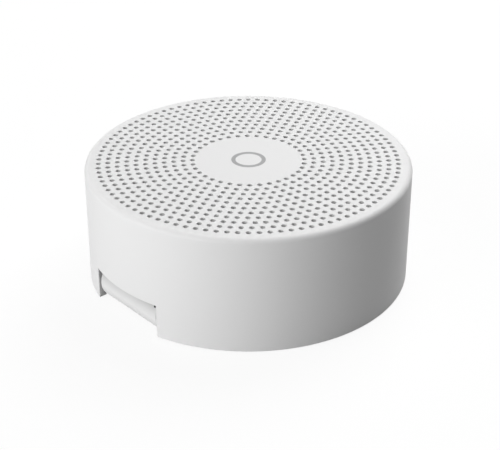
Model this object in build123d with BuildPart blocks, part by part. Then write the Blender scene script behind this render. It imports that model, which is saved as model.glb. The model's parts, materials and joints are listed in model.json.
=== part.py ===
from build123d import *
from math import ceil, cos, floor, hypot, radians, sin
import os

os.makedirs("parts", exist_ok=True)

# Driving dimensions, in millimetres
# Z is up, the object stands on Z = 0 and the fold-out plug is on the -Y side

# Housing
BODY_DIAMETER = 70.0
BODY_HEIGHT = 25.7
WALL = 1.8
TOP_THICKNESS = 1.8
TOP_EDGE_RADIUS = 1.1
RIM_EDGE_RADIUS = 0.3
BASE_THICKNESS = 1.8
BASE_GAP = 0.2
BASE_EDGE = 0.25

# Grille of round holes in rings, six more holes in each ring than in the one inside it
RING_PITCH = 2.0
HOLE_DIAMETER = 1.0
CENTRE_DISC_DIAMETER = 23.0
GRILLE_EDGE = 1.0
HOLES_PER_STEP = 6

# Feet and the case screws that they hide
SCREW_COUNT = 3
SCREW_INSET = 6.7
SCREW_DIAMETER = 2.0
SCREW_BITE = 6.0
HEAD_DIAMETER = 4.0
HEAD_HEIGHT = 1.6
HEAD_SEAT = 1.2
HEAD_CLEARANCE = 0.2
FOOT_DIAMETER = 7.6
FOOT_DEPTH = 0.9
FOOT_PROUD = 0.3
FOOT_EDGE = 0.25
FOOT_CLEARANCE = 0.1
BOSS_DIAMETER = 5.2
BOSS_LENGTH = 10.0
BOSS_WEB = 1.4
PILLAR_DIAMETER = 6.6
PILOT_CLEARANCE = 0.05
PASS_CLEARANCE = 0.3
DRIVE_SLOT = 0.6
DRIVE_SPAN = 0.6
DRIVE_DEPTH = 0.5

# Fold-out power plug and its hinge
BARREL_DIAMETER = 8.1
BARREL_LENGTH = 18.6
BARREL_LIFT = 0.1
BARREL_INSET = 5.74
BARREL_GAP = 0.35
BARREL_END_GAP = 0.47
BARREL_EDGE = 0.4
CHEEK = 2.0
PIN_DIAMETER = 2.0
PIN_SET_BACK = 0.2
PIN_FIT = 0.02
PIN_RUNNING_FIT = 0.05
WASHER_DIAMETER = 5.6
WASHER_FIT = 0.05
COLLAR_WIDTH = 15.0
COLLAR_THICKNESS = 5.9
COLLAR_REACH = 6.4
COLLAR_EDGE = 1.2
COLLAR_END_EDGE = 0.4
NOTCH_CLEARANCE = 0.45
WELL_GAP = 0.4
WELL_WALL = 1.2
SCOOP_RADIUS = 5.5
SCOOP_DEPTH = 3.2
SCOOP_WIDTH = 8.0

# Metal plug
PLUG_WIDTH = 12.0
PLUG_THICKNESS = 4.5
PLUG_LENGTH = 14.0
PLUG_SHEET = 0.3
PLUG_CORNER = 0.6
PLUG_EMBED = 2.0
TONGUE_THICKNESS = 1.84
TONGUE_CLEARANCE = 0.03
TONGUE_SET_BACK = 0.5
SOCKET_DEPTH = 9.6
WINDOW_WIDTH = 2.4
WINDOW_LENGTH = 2.2
WINDOW_SPACING = 5.2
WINDOW_SET_BACK = 5.2
CONTACT_WIDTH = 1.0
CONTACT_THICKNESS = 0.15
CONTACT_LENGTH = 6.4
CONTACT_EXTRA = 1.0
CONTACT_INNER_OFFSET = 1.0
CONTACT_OUTER_OFFSET = 3.5

# Sliding contacts between the barrel and the board
PAD_WIDTH = 1.4
PAD_PITCH = 2.5
PAD_COUNT = 4
PAD_SPAN = 3.6
PAD_THICKNESS = 0.3
PAD_FIT = 0.02
LEAF_WIDTH = 0.9
LEAF_THICKNESS = 0.2
LEAF_CLEARANCE = 0.1
LEAF_TAIL = 4.0
LEAF_TOE = 1.0
LEAF_LIFT = 0.6
LEAF_SLOT_GAP = 0.5

# Circuit board and what stands on it
BOARD_THICKNESS = 1.0
BOARD_GAP = 0.3
BOARD_EDGE_GAP = 0.7
POST_DIAMETER = 4.2
POST_INSET = 2.8
POST_ANGLES = (35, 145, 215, 325)
BOARD_SCREW_DIAMETER = 1.6
BOARD_SCREW_BITE = 5.0
BOARD_HEAD_DIAMETER = 3.4
BOARD_HEAD_HEIGHT = 1.2
SHIELD_WIDTH = 8.0
SHIELD_LENGTH = 12.0
SHIELD_HEIGHT = 1.9
SHIELD_CORNER = 0.6
SHIELD_EDGE_GAP = 4.0
CHIP_HEIGHT = 0.9
CHIP_INSET = 8.5
CHIP_ANGLES = (180, 210, 240, 300)
CHIP_WIDTHS = (4.0, 5.0, 3.2, 3.6)
CHIP_LENGTHS = (6.0, 5.0, 3.2, 4.4)
CAPACITOR_DIAMETER = 6.3
CAPACITOR_HEIGHT = 5.6
CAPACITOR_BASE = 0.8
CAPACITOR_GROOVE = 0.4
CAPACITOR_INSET = 8.5
CAPACITOR_ANGLE = 185
CONNECTOR_WIDTH = 4.4
CONNECTOR_LENGTH = 4.5
CONNECTOR_HEIGHT = 4.6
CONNECTOR_OFFSET = 8.2

# Setup button in the base and the switch that it works
BUTTON_DIAMETER = 7.0
BUTTON_INSET = 11.0
BUTTON_GAP = 0.2
BUTTON_RECESS = 0.2
BUTTON_FLANGE = 1.2
BUTTON_FLANGE_THICKNESS = 1.0
BUTTON_SEAT_GAP = 0.05
BUTTON_STEM = 3.0
BUTTON_EDGE = 0.4
BUTTON_TRAVEL = 0.3
SWITCH_SIZE = 6.0
SWITCH_HEIGHT = 3.5
PLUNGER_DIAMETER = 3.5
PLUNGER_OUT = 1.7
PLUNGER_IN = 0.9
PLUNGER_GAP = 0.1

# Loudspeaker
SPEAKER_DIAMETER = 40.6
SPEAKER_FIT = 0.3
RIB = 0.8
HOOK_ANGLES = (30, 150, 270)
HOOK_ARC = 24
HOOK_REACH = 0.7
HOOK_HEIGHT = 1.0
HOOK_FIT = 0.05
MESH_THICKNESS = 0.25
MESH_GAP = 0.2
GASKET_THICKNESS = 0.8
GASKET_SET_BACK = 0.6
FLANGE_WIDTH = 2.9
FLANGE_THICKNESS = 0.8
BASKET_SHEET = 0.8
BASKET_SKIRT = 2.75
BASKET_DEPTH = 5.75
BASKET_COLLAR = 1.0
BASKET_WINDOWS = 6
BASKET_WINDOW_WIDTH = 5.0
BASKET_WINDOW_MARGIN = 1.3
SURROUND_SHEET = 0.2
SURROUND_LIP = 0.8
SURROUND_OVERLAP = 0.2
CONE_DIAMETER = 32.0
CONE_DEPTH = 3.2
CONE_SHEET = 0.35
CONE_NECK_GAP = 0.05
CAP_DIAMETER = 17.0
CAP_HEIGHT = 2.2
CAP_SHEET = 0.3
COIL_DIAMETER = 13.0
COIL_THICKNESS = 0.5
COIL_FLOOR_GAP = 1.3
AIR_GAP = 0.25
POLE_THICKNESS = 1.8
MAGNET_SET_IN = 0.25
YOKE_WALL = 1.6
YOKE_FLOOR = 1.5
YOKE_DROP = 1.55
YOKE_FIT = 0.05
MOTOR_GAP = 0.4
TERMINAL_WIDTH = 9.0
TERMINAL_THICKNESS = 1.0
TERMINAL_HEIGHT = 2.6
TERMINAL_GAP = 0.2
LUG_WIDTH = 1.6
LUG_LENGTH = 0.8
LUG_OFFSET = 2.0
LEAD_DIAMETER = 1.0
LEAD_BEND = 2.0
LEAD_SPACING = 1.6

# Radii of the housing
body_r = BODY_DIAMETER / 2
inner_r = body_r - WALL
base_r = inner_r - BASE_GAP
screw_r = body_r - SCREW_INSET
board_r = screw_r - BOSS_DIAMETER / 2 - BOARD_EDGE_GAP
post_r = board_r - POST_INSET
first_ring = ceil(CENTRE_DISC_DIAMETER / 2 / RING_PITCH)
last_ring = floor((inner_r - GRILLE_EDGE) / RING_PITCH)

# Levels of the housing
rim_z = FOOT_PROUD
top_z = rim_z + BODY_HEIGHT
ceiling_z = top_z - TOP_THICKNESS
floor_z = rim_z + BASE_THICKNESS
foot_top_z = rim_z + FOOT_DEPTH
head_seat_z = foot_top_z + HEAD_CLEARANCE / 2 + HEAD_HEIGHT
boss_z = head_seat_z + HEAD_SEAT

# Places of the hinge and the plug, which lies folded along +Y from its axis
barrel_r = BARREL_DIAMETER / 2
pin_r = PIN_DIAMETER / 2
axis_y = BARREL_INSET - body_r
axis_z = rim_z + BARREL_LIFT + barrel_r
notch_half = BARREL_LENGTH / 2 + BARREL_END_GAP
notch_top_z = axis_z + COLLAR_THICKNESS / 2 + NOTCH_CLEARANCE
cheek_half = notch_half + CHEEK
collar_y = axis_y + COLLAR_REACH
tip_y = collar_y + PLUG_LENGTH
collar_swing = hypot(COLLAR_REACH, COLLAR_THICKNESS / 2)
tip_swing = hypot(tip_y - axis_y, PLUG_THICKNESS / 2)
barrel_well_y = axis_y + collar_swing + WELL_GAP
plug_well_y = axis_y + tip_swing + WELL_GAP
plug_well_half = PLUG_WIDTH / 2 + WELL_GAP
barrel_roof_z = axis_z + barrel_r + BARREL_GAP
plug_roof_z = axis_z + PLUG_THICKNESS / 2 + WELL_GAP
scoop_z = rim_z + SCOOP_DEPTH - SCOOP_RADIUS

# Levels of the board and the places of what stands on it
board_z = barrel_roof_z + WELL_WALL + BOARD_GAP
board_top_z = board_z + BOARD_THICKNESS
shield_x = board_r - SHIELD_EDGE_GAP - SHIELD_WIDTH / 2
chip_r = board_r - CHIP_INSET
capacitor_r = board_r - CAPACITOR_INSET
button_y = board_r - BUTTON_INSET
switch_z = board_z - SWITCH_HEIGHT
plunger_z = switch_z - PLUNGER_OUT

# Levels and radii of the loudspeaker, which hangs from the ceiling
mesh_z = ceiling_z - MESH_THICKNESS
gasket_z = mesh_z - GASKET_THICKNESS
frame_z = gasket_z - SURROUND_SHEET
flange_z = frame_z - FLANGE_THICKNESS
speaker_r = SPEAKER_DIAMETER / 2
rib_r = speaker_r + SPEAKER_FIT
rib_z = flange_z - HOOK_FIT - HOOK_HEIGHT
flange_in_r = speaker_r - FLANGE_WIDTH
skirt_z = frame_z - BASKET_SKIRT
collar_z = frame_z - BASKET_DEPTH
cone_r = CONE_DIAMETER / 2
cone_lip_r = cone_r - SURROUND_LIP
neck_z = frame_z - CONE_DEPTH
coil_in_r = COIL_DIAMETER / 2
coil_out_r = coil_in_r + COIL_THICKNESS
neck_r = coil_out_r + CONE_NECK_GAP
pole_r = coil_in_r - AIR_GAP
yoke_in_r = coil_out_r + AIR_GAP
yoke_r = yoke_in_r + YOKE_WALL
yoke_top_z = neck_z - YOKE_DROP
yoke_z = board_top_z + MOTOR_GAP
magnet_z = yoke_z + YOKE_FLOOR
pole_z = yoke_top_z - POLE_THICKNESS
coil_z = magnet_z + COIL_FLOOR_GAP
cone_slope = CONE_DEPTH / (cone_lip_r - neck_r)
cap_r = CAP_DIAMETER / 2
cap_z = neck_z + cone_slope * (cap_r - neck_r)
cap_sphere_r = (cap_r**2 + CAP_HEIGHT**2) / (2 * CAP_HEIGHT)
roll_in_r = cone_r - SURROUND_OVERLAP
roll_out_r = flange_in_r + SURROUND_OVERLAP
roll_mid_r = (roll_in_r + roll_out_r) / 2
roll_r = (roll_out_r - roll_in_r) / 2
terminal_y = flange_in_r + BASKET_SHEET + TERMINAL_GAP + TERMINAL_THICKNESS / 2
lug_z = flange_z - TERMINAL_HEIGHT - LUG_LENGTH


def radial_plane(angle):
    """The upright plane through the Z axis whose local X points outward at the given angle."""
    a = radians(angle)
    return Plane(origin=(0, 0, 0), x_dir=(cos(a), sin(a), 0), z_dir=(sin(a), -cos(a), 0))


def polar(radius, angle):
    """A point of the XY plane from its radius and its angle in degrees."""
    return (radius * cos(radians(angle)), radius * sin(radians(angle)))


# Top shell: the grille, the wall with its hinge notch, the screw bosses and the loudspeaker's snap ring
with BuildPart() as top_shell:
    with BuildSketch(Plane.XZ) as shell_section:
        with BuildLine():
            Polyline(
                (0, ceiling_z),
                (inner_r, ceiling_z),
                (inner_r, rim_z),
                (body_r, rim_z),
                (body_r, top_z),
                (0, top_z),
                close=True,
            )
        make_face()
        outer_corners = shell_section.vertices().group_by(Axis.X)[-1].sort_by(Axis.Y)
        fillet(outer_corners[-1], radius=TOP_EDGE_RADIUS)
        fillet(outer_corners[0], radius=RIM_EDGE_RADIUS)
    revolve(axis=Axis.Z)
    with BuildSketch(Plane.XY.offset(boss_z)):
        with PolarLocations(screw_r, SCREW_COUNT, start_angle=90):
            Circle(BOSS_DIAMETER / 2)
            web_length = inner_r + WALL / 2 - screw_r
            with Locations((web_length / 2, 0)):
                Rectangle(web_length, BOSS_WEB)
    extrude(amount=BOSS_LENGTH)
    with BuildSketch(Plane.XY.offset(boss_z)):
        with PolarLocations(screw_r, SCREW_COUNT, start_angle=90):
            Circle(SCREW_DIAMETER / 2 + PILOT_CLEARANCE)
    extrude(amount=SCREW_BITE + SCREW_DIAMETER, mode=Mode.SUBTRACT)
    with BuildSketch(Plane.XY.offset(ceiling_z)):
        Circle(rib_r + RIB)
        Circle(rib_r, mode=Mode.SUBTRACT)
    extrude(amount=rib_z - ceiling_z)
    for hook_angle in HOOK_ANGLES:
        with BuildSketch(radial_plane(hook_angle - HOOK_ARC / 2)):
            with BuildLine():
                Polyline(
                    (rib_r + RIB / 2, rib_z),
                    (rib_r, rib_z),
                    (rib_r - HOOK_REACH, rib_z + HOOK_HEIGHT / 2),
                    (rib_r - HOOK_REACH, rib_z + HOOK_HEIGHT),
                    (rib_r + RIB / 2, rib_z + HOOK_HEIGHT),
                    close=True,
                )
            make_face()
        revolve(axis=Axis.Z, revolution_arc=HOOK_ARC)
    with BuildSketch(Plane.XZ.offset(-axis_y)):
        with Locations((0, (rim_z + notch_top_z) / 2)):
            Rectangle(2 * notch_half, notch_top_z - rim_z)
    extrude(amount=body_r + axis_y, mode=Mode.SUBTRACT)
    with BuildSketch(Plane.YZ.offset(-notch_half)):
        with Locations((axis_y, axis_z)):
            Circle(barrel_r + BARREL_GAP)
    extrude(amount=2 * notch_half, mode=Mode.SUBTRACT)
    with BuildSketch(Plane.XY.offset(top_z)):
        for ring in range(first_ring, last_ring + 1):
            with PolarLocations(ring * RING_PITCH, HOLES_PER_STEP * ring):
                Circle(HOLE_DIAMETER / 2)
    extrude(amount=-TOP_THICKNESS, mode=Mode.SUBTRACT)

# Base cover: the floor plate with the plug's well, the hinge cheeks, the board posts and the screw pillars
with BuildPart() as base_cover:
    with BuildSketch(Plane.XY.offset(rim_z)):
        Circle(base_r)
    extrude(amount=BASE_THICKNESS)
    with BuildSketch(Plane.XY.offset(rim_z)):
        barrel_box_length = barrel_well_y + WELL_WALL + base_r
        with Locations((0, barrel_box_length / 2 - base_r)):
            Rectangle(2 * cheek_half, barrel_box_length)
    extrude(amount=barrel_roof_z + WELL_WALL - rim_z)
    with BuildSketch(Plane.XY.offset(rim_z)):
        plug_box_length = plug_well_y + WELL_WALL - axis_y
        with Locations((0, axis_y + plug_box_length / 2)):
            Rectangle(2 * (plug_well_half + WELL_WALL), plug_box_length)
    extrude(amount=plug_roof_z + WELL_WALL - rim_z)
    with BuildSketch(Plane.YZ.offset(-SCOOP_WIDTH / 2 - WELL_WALL)):
        with Locations((plug_well_y, scoop_z)):
            Circle(SCOOP_RADIUS + WELL_WALL)
    extrude(amount=SCOOP_WIDTH + 2 * WELL_WALL)
    with BuildSketch(Plane.XY.offset(floor_z)):
        with PolarLocations(screw_r, SCREW_COUNT, start_angle=90):
            Circle(PILLAR_DIAMETER / 2)
    extrude(amount=boss_z - floor_z)
    with BuildSketch(Plane.XY.offset(floor_z)):
        with Locations([polar(post_r, angle) for angle in POST_ANGLES]):
            Circle(POST_DIAMETER / 2)
    extrude(amount=board_z - floor_z)
    with BuildSketch(Plane.XY.offset(rim_z)):
        Circle(base_r)
    extrude(amount=board_z - rim_z, mode=Mode.INTERSECT)
    with BuildSketch(Plane.XY.offset(rim_z)):
        with Locations((0, (barrel_well_y - body_r) / 2)):
            Rectangle(2 * notch_half, barrel_well_y + body_r)
    extrude(amount=barrel_roof_z - rim_z, mode=Mode.SUBTRACT)
    with BuildSketch(Plane.XY.offset(rim_z)):
        with Locations((0, (axis_y + plug_well_y) / 2)):
            Rectangle(2 * plug_well_half, plug_well_y - axis_y)
    extrude(amount=plug_roof_z - rim_z, mode=Mode.SUBTRACT)
    with BuildSketch(Plane.YZ.offset(-SCOOP_WIDTH / 2)):
        with Locations((plug_well_y, scoop_z)):
            Circle(SCOOP_RADIUS)
    extrude(amount=SCOOP_WIDTH, mode=Mode.SUBTRACT)
    with BuildSketch(Plane.XY.offset(barrel_roof_z)):
        leaf_slot_width = (PAD_COUNT - 1) * PAD_PITCH + LEAF_WIDTH + 2 * LEAF_SLOT_GAP
        leaf_slot_start = axis_y - LEAF_TOE - LEAF_SLOT_GAP
        with Locations((0, (leaf_slot_start + barrel_well_y) / 2)):
            Rectangle(leaf_slot_width, barrel_well_y - leaf_slot_start)
    extrude(amount=WELL_WALL, mode=Mode.SUBTRACT)
    with BuildSketch(Plane.YZ.offset(-cheek_half)):
        with Locations((axis_y, axis_z)):
            Circle(pin_r + PIN_FIT)
    extrude(amount=2 * cheek_half, mode=Mode.SUBTRACT)
    with BuildSketch(Plane.XY.offset(rim_z)):
        with PolarLocations(screw_r, SCREW_COUNT, start_angle=90):
            Circle(FOOT_DIAMETER / 2 + FOOT_CLEARANCE)
    extrude(amount=FOOT_DEPTH, mode=Mode.SUBTRACT)
    with BuildSketch(Plane.XY.offset(foot_top_z)):
        with PolarLocations(screw_r, SCREW_COUNT, start_angle=90):
            Circle(HEAD_DIAMETER / 2 + HEAD_CLEARANCE)
    extrude(amount=head_seat_z - foot_top_z, mode=Mode.SUBTRACT)
    with BuildSketch(Plane.XY.offset(head_seat_z)):
        with PolarLocations(screw_r, SCREW_COUNT, start_angle=90):
            Circle(SCREW_DIAMETER / 2 + PASS_CLEARANCE)
    extrude(amount=HEAD_SEAT, mode=Mode.SUBTRACT)
    with BuildSketch(Plane.XY.offset(board_z)):
        with Locations([polar(post_r, angle) for angle in POST_ANGLES]):
            Circle(BOARD_SCREW_DIAMETER / 2 + PILOT_CLEARANCE)
    extrude(amount=-BOARD_SCREW_BITE - BOARD_SCREW_DIAMETER / 2, mode=Mode.SUBTRACT)
    with BuildSketch(Plane.XY.offset(rim_z)):
        with Locations((0, button_y)):
            Circle(BUTTON_DIAMETER / 2 + BUTTON_GAP)
    extrude(amount=BASE_THICKNESS, mode=Mode.SUBTRACT)
    chamfer(base_cover.faces().sort_by(Axis.Z)[0].edges(), length=BASE_EDGE)

# Rubber feet, pressed into the recesses over the case screws
with BuildPart() as rubber_feet:
    with BuildSketch():
        with PolarLocations(screw_r, SCREW_COUNT, start_angle=90):
            Circle(FOOT_DIAMETER / 2)
    extrude(amount=foot_top_z)
    fillet(rubber_feet.faces().sort_by(Axis.Z)[:SCREW_COUNT].edges(), radius=FOOT_EDGE)

# Case screws, from below through the base pillars into the shell's bosses
with BuildPart() as case_screws:
    with BuildSketch(Plane.XY.offset(head_seat_z)):
        with PolarLocations(screw_r, SCREW_COUNT, start_angle=90):
            Circle(SCREW_DIAMETER / 2)
    extrude(amount=HEAD_SEAT + SCREW_BITE)
    with BuildSketch(Plane.XY.offset(head_seat_z)):
        with PolarLocations(screw_r, SCREW_COUNT, start_angle=90):
            Circle(HEAD_DIAMETER / 2)
    extrude(amount=-HEAD_HEIGHT)
    with BuildSketch(Plane.XY.offset(head_seat_z - HEAD_HEIGHT)):
        with PolarLocations(screw_r, SCREW_COUNT, start_angle=90):
            Rectangle(HEAD_DIAMETER * DRIVE_SPAN, DRIVE_SLOT)
            Rectangle(DRIVE_SLOT, HEAD_DIAMETER * DRIVE_SPAN)
    extrude(amount=HEAD_HEIGHT * DRIVE_DEPTH, mode=Mode.SUBTRACT)

# Hinge pin, held in the cheeks
with BuildPart() as hinge_pin:
    pin_half = cheek_half - PIN_SET_BACK
    with BuildSketch(Plane.YZ.offset(-pin_half)):
        with Locations((axis_y, axis_z)):
            Circle(pin_r)
    extrude(amount=2 * pin_half)

# Friction washers between the barrel's ends and the cheeks
with BuildPart() as hinge_washers:
    for side in (-1, 1):
        with BuildSketch(Plane.YZ.offset(side * (BARREL_LENGTH / 2 + WASHER_FIT))):
            with Locations((axis_y, axis_z)):
                Circle(WASHER_DIAMETER / 2)
                Circle(pin_r + PIN_FIT, mode=Mode.SUBTRACT)
        extrude(amount=side * (BARREL_END_GAP - WASHER_FIT))

# Plug barrel: the hinge barrel with the collar that holds the metal plug
with BuildPart() as plug_barrel:
    with BuildSketch(Plane.YZ.offset(-BARREL_LENGTH / 2)):
        with Locations((axis_y, axis_z)):
            Circle(barrel_r)
    extrude(amount=BARREL_LENGTH)
    fillet(plug_barrel.edges().filter_by(GeomType.CIRCLE), radius=BARREL_EDGE)
    with BuildSketch(Plane.XZ.offset(-axis_y)):
        with Locations((0, axis_z)):
            RectangleRounded(COLLAR_WIDTH, COLLAR_THICKNESS, COLLAR_EDGE)
    extrude(amount=-COLLAR_REACH)
    fillet(plug_barrel.faces().sort_by(Axis.Y)[-1].edges(), radius=COLLAR_END_EDGE)
    with BuildSketch(Plane.XZ.offset(-collar_y)):
        with Locations((0, axis_z)):
            RectangleRounded(PLUG_WIDTH, PLUG_THICKNESS, PLUG_CORNER)
    extrude(amount=PLUG_EMBED, mode=Mode.SUBTRACT)
    with BuildSketch(Plane.YZ.offset(-BARREL_LENGTH / 2)):
        with Locations((axis_y, axis_z)):
            Circle(pin_r + PIN_RUNNING_FIT)
    extrude(amount=BARREL_LENGTH, mode=Mode.SUBTRACT)
    with BuildSketch(Plane.XZ.offset(-axis_y)):
        with Locations((0, axis_z - barrel_r)):
            with GridLocations(PAD_PITCH, 0, PAD_COUNT, 1):
                Rectangle(PAD_WIDTH + 2 * PAD_FIT, 2 * PAD_THICKNESS)
    extrude(amount=PAD_SPAN / 2 + PAD_FIT, both=True, mode=Mode.SUBTRACT)

# Barrel pads, which meet the contact springs when the plug is unfolded
with BuildPart() as barrel_pads:
    with BuildSketch(Plane.YZ.offset(-BARREL_LENGTH / 2)):
        with Locations((axis_y, axis_z)):
            Circle(barrel_r)
    extrude(amount=BARREL_LENGTH)
    with BuildSketch(Plane.XZ.offset(-axis_y)):
        with Locations((0, axis_z - barrel_r)):
            with GridLocations(PAD_PITCH, 0, PAD_COUNT, 1):
                Rectangle(PAD_WIDTH, 2 * (PAD_THICKNESS - PAD_FIT))
    extrude(amount=PAD_SPAN / 2, both=True, mode=Mode.INTERSECT)

# Metal plug shell: a rounded sheet tube with its four latch windows
with BuildPart() as plug_shell:
    with BuildSketch(Plane.XZ.offset(-tip_y)):
        with Locations((0, axis_z)):
            RectangleRounded(PLUG_WIDTH, PLUG_THICKNESS, PLUG_CORNER)
            RectangleRounded(
                PLUG_WIDTH - 2 * PLUG_SHEET,
                PLUG_THICKNESS - 2 * PLUG_SHEET,
                PLUG_CORNER - PLUG_SHEET,
                mode=Mode.SUBTRACT,
            )
    extrude(amount=PLUG_LENGTH + PLUG_EMBED)
    with BuildSketch(Plane.XY.offset(axis_z)):
        with Locations((0, tip_y - WINDOW_SET_BACK)):
            with GridLocations(WINDOW_SPACING, 0, 2, 1):
                Rectangle(WINDOW_WIDTH, WINDOW_LENGTH)
    extrude(amount=PLUG_THICKNESS, both=True, mode=Mode.SUBTRACT)

# Plug tongue: the insulator that fills the back of the shell and carries the contacts
tongue_width = PLUG_WIDTH - 2 * PLUG_SHEET - 2 * TONGUE_CLEARANCE
tongue_top_z = axis_z + PLUG_THICKNESS / 2 - PLUG_SHEET - TONGUE_CLEARANCE
tongue_z = tongue_top_z - TONGUE_THICKNESS
block_z = axis_z - PLUG_THICKNESS / 2 + PLUG_SHEET + TONGUE_CLEARANCE
with BuildPart() as plug_tongue:
    with BuildSketch(Plane.YZ.offset(-tongue_width / 2)):
        with BuildLine():
            Polyline(
                (collar_y - PLUG_EMBED, block_z),
                (collar_y - PLUG_EMBED, tongue_top_z),
                (tip_y - TONGUE_SET_BACK, tongue_top_z),
                (tip_y - TONGUE_SET_BACK, tongue_z),
                (tip_y - SOCKET_DEPTH, tongue_z),
                (tip_y - SOCKET_DEPTH, block_z),
                close=True,
            )
        make_face()
    extrude(amount=tongue_width)
    fillet(plug_tongue.edges().filter_by(Axis.Y), radius=PLUG_CORNER - PLUG_SHEET)

# Plug contacts: two short data strips between two longer power strips
with BuildPart() as plug_contacts:
    with BuildSketch(Plane.XY.offset(tongue_z)):
        for contact_x in (CONTACT_INNER_OFFSET, CONTACT_OUTER_OFFSET):
            longer = CONTACT_EXTRA if contact_x == CONTACT_OUTER_OFFSET else 0
            strip_length = CONTACT_LENGTH + longer
            strip_y = tip_y - SOCKET_DEPTH + strip_length / 2
            with Locations((-contact_x, strip_y), (contact_x, strip_y)):
                Rectangle(CONTACT_WIDTH, strip_length)
    extrude(amount=-CONTACT_THICKNESS)

# Contact springs: bent leaves from the board's underside to the top of the barrel
leaf_z = axis_z + barrel_r + LEAF_CLEARANCE + LEAF_THICKNESS / 2
leaf_root_z = board_z - LEAF_THICKNESS / 2
leaf_bend_y = barrel_well_y - LEAF_SLOT_GAP
leaf_tail_y = LEAF_TAIL - board_r
with BuildPart() as contact_springs:
    first_leaf_x = -(PAD_COUNT - 1) * PAD_PITCH / 2
    for leaf in range(PAD_COUNT):
        with BuildSketch(Plane.YZ.offset(first_leaf_x + leaf * PAD_PITCH - LEAF_WIDTH / 2)):
            with BuildLine():
                Polyline(
                    (leaf_tail_y, leaf_root_z),
                    (leaf_bend_y, leaf_root_z),
                    (axis_y, leaf_z),
                    (axis_y - LEAF_TOE, leaf_z + LEAF_LIFT),
                )
            trace(line_width=LEAF_THICKNESS)
        extrude(amount=LEAF_WIDTH)

# Circuit board
with BuildPart() as main_board:
    with BuildSketch(Plane.XY.offset(board_z)):
        Circle(board_r)
        with Locations([polar(post_r, angle) for angle in POST_ANGLES]):
            Circle(BOARD_SCREW_DIAMETER / 2 + PASS_CLEARANCE, mode=Mode.SUBTRACT)
    extrude(amount=BOARD_THICKNESS)

# Board screws
with BuildPart() as board_screws:
    with BuildSketch(Plane.XY.offset(board_top_z)):
        with Locations([polar(post_r, angle) for angle in POST_ANGLES]):
            Circle(BOARD_SCREW_DIAMETER / 2)
    extrude(amount=-BOARD_THICKNESS - BOARD_SCREW_BITE)
    with BuildSketch(Plane.XY.offset(board_top_z)):
        with Locations([polar(post_r, angle) for angle in POST_ANGLES]):
            Circle(BOARD_HEAD_DIAMETER / 2)
    extrude(amount=BOARD_HEAD_HEIGHT)
    with BuildSketch(Plane.XY.offset(board_top_z + BOARD_HEAD_HEIGHT)):
        with Locations([polar(post_r, angle) for angle in POST_ANGLES]):
            Rectangle(BOARD_HEAD_DIAMETER * DRIVE_SPAN, DRIVE_SLOT)
            Rectangle(DRIVE_SLOT, BOARD_HEAD_DIAMETER * DRIVE_SPAN)
    extrude(amount=-BOARD_HEAD_HEIGHT * DRIVE_DEPTH, mode=Mode.SUBTRACT)

# Radio shield can
with BuildPart() as radio_shield:
    with BuildSketch(Plane.XY.offset(board_top_z)):
        with Locations((shield_x, 0)):
            RectangleRounded(SHIELD_WIDTH, SHIELD_LENGTH, SHIELD_CORNER)
    extrude(amount=SHIELD_HEIGHT)
    fillet(radio_shield.faces().sort_by(Axis.Z)[-1].edges(), radius=SHIELD_CORNER / 2)

# Processor, memory, amplifier and charger chips
with BuildPart() as board_chips:
    with BuildSketch(Plane.XY.offset(board_top_z)):
        for chip_angle, chip_width, chip_length in zip(CHIP_ANGLES, CHIP_WIDTHS, CHIP_LENGTHS):
            with Locations(polar(chip_r, chip_angle)):
                Rectangle(chip_width, chip_length)
    extrude(amount=CHIP_HEIGHT)

# Reservoir capacitor, hanging under the board
capacitor_x, capacitor_y = polar(capacitor_r, CAPACITOR_ANGLE)
with BuildPart() as reservoir_capacitor:
    with BuildSketch(Plane.XY.offset(board_z)):
        with Locations((capacitor_x, capacitor_y)):
            Rectangle(CAPACITOR_DIAMETER, CAPACITOR_DIAMETER)
    extrude(amount=-CAPACITOR_BASE)
    with BuildSketch(Plane.XY.offset(board_z - CAPACITOR_BASE)):
        with Locations((capacitor_x, capacitor_y)):
            Circle(CAPACITOR_DIAMETER / 2 - CAPACITOR_GROOVE)
    extrude(amount=-CAPACITOR_GROOVE)
    with BuildSketch(Plane.XY.offset(board_z - CAPACITOR_BASE - CAPACITOR_GROOVE)):
        with Locations((capacitor_x, capacitor_y)):
            Circle(CAPACITOR_DIAMETER / 2)
    extrude(amount=-(CAPACITOR_HEIGHT - CAPACITOR_BASE - CAPACITOR_GROOVE))
    fillet(reservoir_capacitor.faces().sort_by(Axis.Z)[0].edges(), radius=CAPACITOR_GROOVE)

# Tact switch case
with BuildPart() as tact_switch:
    with BuildSketch(Plane.XY.offset(switch_z)):
        with Locations((0, button_y)):
            Rectangle(SWITCH_SIZE, SWITCH_SIZE)
    extrude(amount=SWITCH_HEIGHT)
    with BuildSketch(Plane.XY.offset(switch_z)):
        with Locations((0, button_y)):
            Circle(PLUNGER_DIAMETER / 2 + PLUNGER_GAP)
    extrude(amount=PLUNGER_IN + BUTTON_TRAVEL + PLUNGER_GAP, mode=Mode.SUBTRACT)

# Switch plunger
with BuildPart() as switch_plunger:
    with BuildSketch(Plane.XY.offset(plunger_z)):
        with Locations((0, button_y)):
            Circle(PLUNGER_DIAMETER / 2)
    extrude(amount=PLUNGER_OUT + PLUNGER_IN)

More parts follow.
